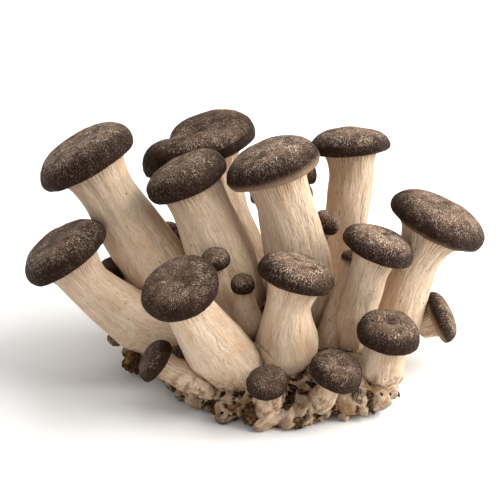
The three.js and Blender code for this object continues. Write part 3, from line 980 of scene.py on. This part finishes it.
# A finger: rings about a drooping line from one end to the other, of radius g (1 - s^4)^(1/2) (1 + t s) at
# the share s of the way from the middle to an end, with girth g and taper t, roughened by noise.
def makeFinger(name, middle, along, girth, seed):
    middle = np.array(middle)
    along = np.array(along)
    half = np.linalg.norm(along)
    side = unit(np.cross(along, upward))
    other = unit(np.cross(along, side))
    share = np.sin(np.linspace(-0.98, 0.98, fingers["rings"]) * math.pi / 2)
    turn = roundSteps(fingers["around"]) * 2 * math.pi
    radius = girth * np.sqrt(1 - share ** 4) * (1 + fingers["taper"] * share)
    out = np.cos(turn)[None, :, None] * side + np.sin(turn)[None, :, None] * other
    fallen = fingers["droop"] * half * share ** 2
    line = middle + share[:, None] * along - upward * fallen[:, None]
    surface = line[:, None] + out * radius[:, None, None]
    parts = np.broadcast_arrays(girth * np.cos(turn)[None], girth * np.sin(turn)[None],
                                half * share[:, None])
    grain = np.stack(parts, axis=-1) + seed * fingers["grainShift"]
    fine, fineSize = fingers["fineRough"]
    coarse, coarseSize = fingers["rough"]
    rough = fine * waves(grain * (1, 1, 0.4), fineSize, seed) + coarse * waves(surface, coarseSize, seed + 1)
    surface = surface + out * rough[..., None]
    surface[..., 2] = np.maximum(surface[..., 2], aboveTable)
    dirty = 0.55 + 0.45 * (1 - smoothstep(0.0008, 0.0045, surface[..., 2]))
    towardsEnd = 2 * np.abs(share)[:, None] - 0.9
    stained = 0.75 * smoothstep(-0.2, 1.1, waves(surface, fingers["stainSize"], seed + 2) + towardsEnd)
    fields = {"grain": grain, "groove": stained, "foot": dirty}
    closedSurface(name, surface, fields, stemFlesh, [butt["node"]])


# Two fingers at the front and the rest at random places low on the butt's outside.
def makeFingers():
    random = np.random.default_rng(fingers["seed"])
    lowest, highest = fingers["heights"]
    ring = buttSurface[(buttSurface[..., 2] > lowest) & (buttSurface[..., 2] < highest)]
    low, high = np.array(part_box(butt["node"]))
    outness = np.linalg.norm((ring - (low + high) / 2)[:, :2] / (high - low)[:2], axis=1)
    outer = ring[outness > fingers["outness"]]
    places = outer[random.choice(len(outer), fingers["count"], replace=False)]
    for each, (middle, along, girth) in enumerate(fingers["front"]):
        makeFinger(f"frontFinger_{each + 1}", middle, along, girth, each)
    for each, place in enumerate(places):
        outward = unit((place - (low + high) / 2) * (1, 1, 0))
        along = outward * random.uniform(*fingers["outward"])
        along = along + np.cross(outward, upward) * random.uniform(*fingers["sideways"])
        along = unit(along - upward * random.uniform(*fingers["down"]))
        half = random.uniform(*fingers["halfLength"])
        girth = random.uniform(*fingers["girth"])
        middle = place - outward * (girth * 0.9 + half * 0.35 + fingers["tuck"])
        middle[2] = max(middle[2], girth * 0.7)
        makeFinger(f"finger_{each + 1}", middle, along * half, girth, each + 5)


makeFingers()
print("fingers made")


bits = {
    "seed": 12,
    "count": 750,
    "smallest": 0.0004,
    "largest": 0.0016,
    "stretch": (0.55, 1.35),
    "jitter": 0.22,
    "rings": 5,
    "around": 8,
    "onSmooth": 0.05,        # chance of a place without a crease
    "lowest": 0.0012,
    "aboveTable": 0.0001,
}


# A ball of a few rings and two poles, with its quads and the triangles round its poles.
def coarseBall():
    around = bits["around"]
    falls = np.linspace(0.35, math.pi - 0.35, bits["rings"])
    fall, turn = np.meshgrid(falls, np.arange(around) * math.pi / (around / 2), indexing="ij")
    ball = np.concatenate([[[0, 0, 1]], ballRays(fall, turn).reshape(-1, 3), [[0, 0, -1]]])
    ring = 1 + np.arange(bits["rings"])[:, None] * around + np.arange(around)
    after = np.roll(ring, -1, axis=1)
    quads = np.stack([ring[:-1], ring[1:], after[1:], after[:-1]], axis=-1).reshape(-1, 4)
    top = np.stack([np.zeros(around, dtype=int), ring[0], after[0]], axis=-1)
    end = np.stack([np.full(around, len(ball) - 1), after[-1], ring[-1]], axis=-1)
    return ball, quads, np.concatenate([top, end])


# Bits of sawdust: one coarse ball, copied to places on the butt, mostly in its creases, each roughened,
# stretched and turned at random.
def makeBits():
    random = np.random.default_rng(bits["seed"])
    count = bits["count"]
    flat = buttSurface.reshape(-1, 3)
    chance = (buttCrease.ravel() ** 2 + bits["onSmooth"]) * (flat[:, 2] > bits["lowest"])
    spots = random.choice(len(flat), count, replace=False, p=chance / chance.sum())
    ball, quads, fans = coarseBall()
    size = random.uniform(bits["smallest"] ** 0.5, bits["largest"] ** 0.5, count) ** 2
    stretch = random.uniform(*bits["stretch"], (count, 3)) * size[:, None]
    jitter = 1 + bits["jitter"] * random.normal(size=(count, len(ball), 1))
    turned, _ = np.linalg.qr(random.normal(size=(count, 3, 3)))
    turned = turned * np.sign(np.linalg.det(turned))[:, None, None]
    points = (ball * jitter * stretch[:, None]) @ turned + flat[spots][:, None]
    points[..., 2] = np.maximum(points[..., 2], bits["aboveTable"])
    step = (np.arange(count) * len(ball))[:, None, None]
    faces = (quads + step).reshape(-1, 4).tolist() + (fans + step).reshape(-1, 3).tolist()
    mesh = bpy.data.meshes.new("sawdustBits")
    mesh.from_pydata(points.reshape(-1, 3).tolist(), [], faces)
    finishPiece(mesh, sawdustMat, [])


makeBits()
print("sawdust bits made")


studio = {
    "aim": (-0.005, 0.0, 0.052),
    "distance": 0.9,
    "elevation": 26.0,
    "lens": 154.3,
    "farthest": 20,
    # place, size, power and colour
    "lights": {"keyLight": ((1.05, 0.02, 0.66), 1.3, 30.0, (1.0, 0.97, 0.93)),
               "topLight": ((0.35, 0.5, 1.1), 1.3, 9.0, (1.0, 0.98, 0.95)),
               "fillLight": ((-0.6, -0.7, 0.5), 0.8, 1.2, (1.0, 0.97, 0.93))},
    "world": 0.43,
    "floorHalf": 4,
    "floorTones": ((0.93, 0.93, 0.93), (0.96, 0.96, 0.96)),
}


def makeFloor():
    made = Shader("paleFloor")
    place = made.place()
    tint = made.mix(made.noise(place, 3), *studio["floorTones"])
    rough = made.between(made.noise(place, 60), 0, 1, 0.85, 0.95)
    made.finish(tint, rough, [(made.noise(place, 900), 0.0001)])
    half = studio["floorHalf"]
    mesh = bpy.data.meshes.new("floor")
    mesh.from_pydata([(-half, -half, 0), (half, -half, 0), (half, half, 0), (-half, half, 0)],
                     [], [(0, 1, 2, 3)])
    mesh.materials.append(made.material)
    newObject("floor", mesh)


# A round soft light at a place, turned to face the aim.
def addLight(name, place, size, power, colour):
    data = bpy.data.lights.new(name, "AREA")
    data.shape = "DISK"
    data.size = size
    data.energy = power
    data.color = colour
    lamp = newObject(name, data)
    lamp.location = place
    towards = np.array(studio["aim"]) - np.array(place)
    tilt = math.acos(-towards[2] / np.linalg.norm(towards))
    lamp.rotation_euler = (tilt, 0, math.atan2(-towards[0], towards[1]))


def makeWorld():
    world = bpy.data.worlds.new("paleRoom")
    world.use_nodes = True
    background = world.node_tree.nodes["Background"]
    background.inputs["Color"].default_value = (1, 1, 1, 1)
    background.inputs["Strength"].default_value = studio["world"]
    bpy.context.scene.world = world
    bpy.context.scene.view_settings.view_transform = "Standard"


def addCamera():
    data = bpy.data.cameras.new("camera")
    data.lens = studio["lens"]
    data.clip_end = studio["farthest"]
    camera = newObject("camera", data)
    lift = math.radians(studio["elevation"])
    ahead = np.array([0, math.cos(lift), -math.sin(lift)])
    camera.location = np.array(studio["aim"]) - ahead * studio["distance"]
    camera.rotation_euler = (math.pi / 2 - lift, 0, 0)
    bpy.context.scene.camera = camera


makeFloor()
for name, light in studio["lights"].items():
    addLight(name, *light)
makeWorld()
addCamera()
